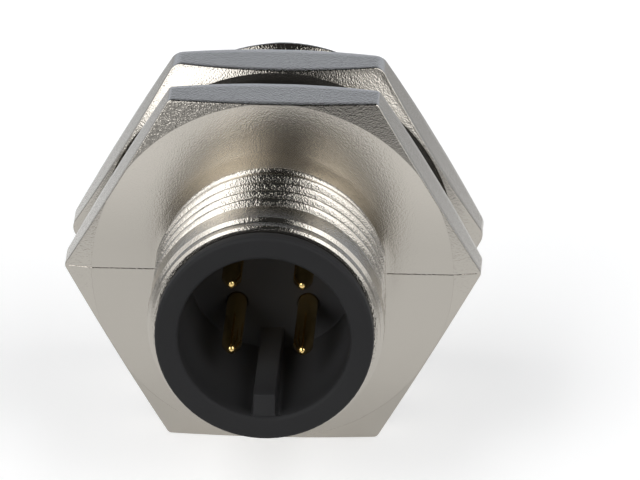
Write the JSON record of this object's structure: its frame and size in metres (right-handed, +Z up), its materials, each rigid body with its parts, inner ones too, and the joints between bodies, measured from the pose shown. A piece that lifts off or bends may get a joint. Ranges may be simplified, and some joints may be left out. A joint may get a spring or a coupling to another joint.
{
  "type": "panel-mount m12 connector",
  "caption": "Panel-mount circular signal connector: threaded male collar with shrouded contact pins, hexagonal flange, rear mounting barrel and lock nut.",
  "frame": {"origin": "on the connector's axis, in the rear face of the hexagonal flange, which seats on the panel", "axes": "+Y along the axis towards the solder cups, -Y is the mating side; +Z up, square to the hexagons' bottom flats; +X to the right as seen from the mating side"},
  "size_m": [0.0208, 0.0219, 0.018],
  "materials": {
    "plated_casting": "die-cast zinc with bright nickel plating over a fine cast grain",
    "plated_nut": "brass with bright nickel plating",
    "seal_rubber": "smooth black nitrile rubber",
    "carrier_plastic": "black moulded polyamide, satin with a fine mould grain",
    "contact_gold": "gold plating over turned brass"
  },
  "bodies": {
    "connector": {"shell": "plated_casting", "panel_seal": "seal_rubber", "contact_carrier": "carrier_plastic", "carrier_seal": "seal_rubber", "contact_retainer": "carrier_plastic", "contact_pin_1": "contact_gold", "contact_pin_2": "contact_gold", "contact_pin_3": "contact_gold", "contact_pin_4": "contact_gold"},
    "nut": {"lock_nut": "plated_nut"}
  },
  "joints": [
    {"name": "nut_travel", "type": "slide", "parent": "connector", "child": "nut", "axis": [0, 1, 0], "range_m": [0, 0.00423]}
  ]
}
